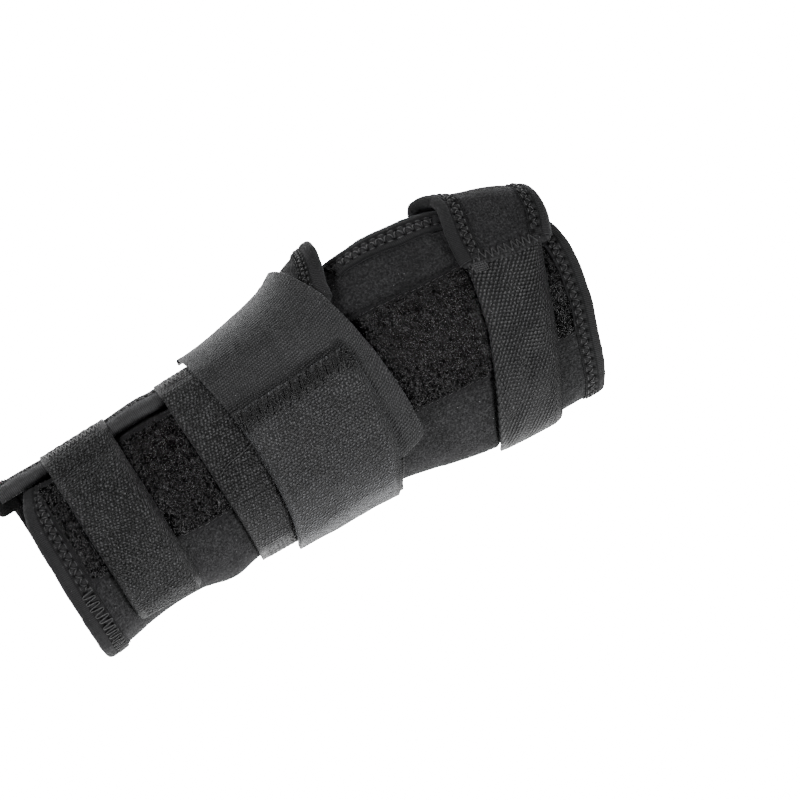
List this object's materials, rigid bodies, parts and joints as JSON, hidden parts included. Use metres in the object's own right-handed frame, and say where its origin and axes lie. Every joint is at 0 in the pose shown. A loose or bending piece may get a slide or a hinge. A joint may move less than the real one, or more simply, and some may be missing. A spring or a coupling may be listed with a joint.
{
  "type": "wrist splint",
  "caption": "Right-hand wrist splint: wrap-round neoprene sleeve with a palm stay, a thumb opening, a loop strip, forearm straps, a wide wrist wrap and a strap across the hand.",
  "frame": {"origin": "on the flat resting face of the palm-side stay pocket, under the wrist, on the forearm's centreline", "axes": "+X from the elbow towards the fingers, +Y towards the thumb, +Z out of the back of the hand"},
  "size_m": [0.2371, 0.1114, 0.0605],
  "materials": {
    "neoprene": "matte jersey-faced neoprene",
    "edge_tape": "matte knitted tape, overlocked",
    "loop_pile": "brushed loop pile",
    "webbing": "pebbly elastic webbing",
    "ribbed_elastic": "ribbed wide elastic",
    "hook": "moulded hook tape",
    "thread": "slightly shiny sewing thread",
    "stay_metal": "brushed, rounded edges",
    "stay_tips": "soft dipped coating",
    "pocket_cloth": "flat woven pocket cloth"
  },
  "bodies": {
    "palm_shell": {"volar_panel": "neoprene", "volar_proximal_binding": "edge_tape", "volar_distal_binding": "edge_tape", "stay_pocket": "pocket_cloth", "stay_pocket_stitching": "thread"},
    "stay": {"palm_stay": "stay_metal", "stay_tip_proximal": "stay_tips", "stay_tip_distal": "stay_tips"},
    "dorsal": {"dorsal_panel": "neoprene", "dorsal_proximal_binding": "edge_tape", "dorsal_distal_binding": "edge_tape", "thumb_arc_binding": "edge_tape", "dorsal_loop_patch": "loop_pile", "dorsal_edge_stitching": "thread", "loop_patch_stitching": "thread"},
    "flap": {"radial_flap": "neoprene", "flap_edge_binding": "edge_tape", "flap_proximal_binding": "edge_tape", "thumb_base_binding": "edge_tape"},
    "forearm_strap": {"proximal_strap": "webbing", "proximal_strap_hook": "hook", "proximal_strap_stitching": "thread"},
    "middle_strap": {"mid_strap": "webbing", "mid_strap_hook": "hook", "mid_strap_stitching": "thread"},
    "wrap": {"wrist_wrap": "ribbed_elastic", "wrap_root_stitching": "thread"},
    "tab": {"wrap_tab": "webbing", "wrap_tab_hook": "hook", "zigzag_seam": "thread"},
    "web": {"thumb_web_tab": "neoprene", "web_tab_proximal_binding": "edge_tape", "web_tab_distal_binding": "edge_tape", "hand_strap_stitching": "thread"},
    "palm_strap": {"hand_strap": "webbing", "hand_strap_hook": "hook"}
  },
  "joints": [
    {"name": "flap_opening", "type": "hinge", "parent": "palm_shell", "child": "flap", "pos_m": [-0.113, 0.0345, 0.013], "axis": [-0.9971, -0.0767, 0], "range_deg": [0, 50]},
    {"name": "dorsal_opening", "type": "hinge", "parent": "palm_shell", "child": "dorsal", "pos_m": [-0.113, -0.041, 0.013], "axis": [0.998, -0.0639, 0], "range_deg": [0, 20]},
    {"name": "web_tab_opening", "type": "hinge", "parent": "palm_shell", "child": "web", "pos_m": [0.08, 0.043, 0.013], "axis": [-0.8944, 0.4472, 0], "range_deg": [0, 50]},
    {"name": "stay_slide", "type": "slide", "parent": "palm_shell", "child": "stay", "axis": [-1, 0, 0], "range_m": [0, 0.195]},
    {"name": "forearm_strap_peel", "type": "hinge", "parent": "flap", "child": "forearm_strap", "pos_m": [-0.08, 0.03848, 0.03895], "axis": [-0.9994, 0.0002, 0.0348], "range_deg": [0, 90]},
    {"name": "wrap_peel", "type": "hinge", "parent": "flap", "child": "wrap", "pos_m": [-0.0075, 0.04715, 0.01861], "axis": [-0.9813, -0.1923, 0.0022], "range_deg": [0, 62]},
    {"name": "middle_strap_peel", "type": "hinge", "parent": "flap", "child": "middle_strap", "pos_m": [-0.0305, 0.03842, 0.03934], "axis": [-0.9942, 0.0037, -0.1073], "range_deg": [0, 45]},
    {"name": "tab_peel", "type": "hinge", "parent": "wrap", "child": "tab", "pos_m": [0.0005, 0.01271, 0.05665], "axis": [-0.9984, 0.0027, 0.0573], "range_deg": [0, 100]},
    {"name": "palm_strap_peel", "type": "hinge", "parent": "web", "child": "palm_strap", "pos_m": [0.09625, 0.01292, 0.04492], "axis": [-0.9733, 0.2008, 0.1112], "range_deg": [0, 100]}
  ],
  "couplings": [
    {"joint": "dorsal_opening", "follows": "flap_opening", "ratio": 0.4},
    {"joint": "web_tab_opening", "follows": "flap_opening", "ratio": 1},
    {"joint": "forearm_strap_peel", "follows": "flap_opening", "ratio": 1.8},
    {"joint": "middle_strap_peel", "follows": "flap_opening", "ratio": 0.9},
    {"joint": "wrap_peel", "follows": "flap_opening", "ratio": 1.24},
    {"joint": "tab_peel", "follows": "flap_opening", "ratio": 2}
  ]
}
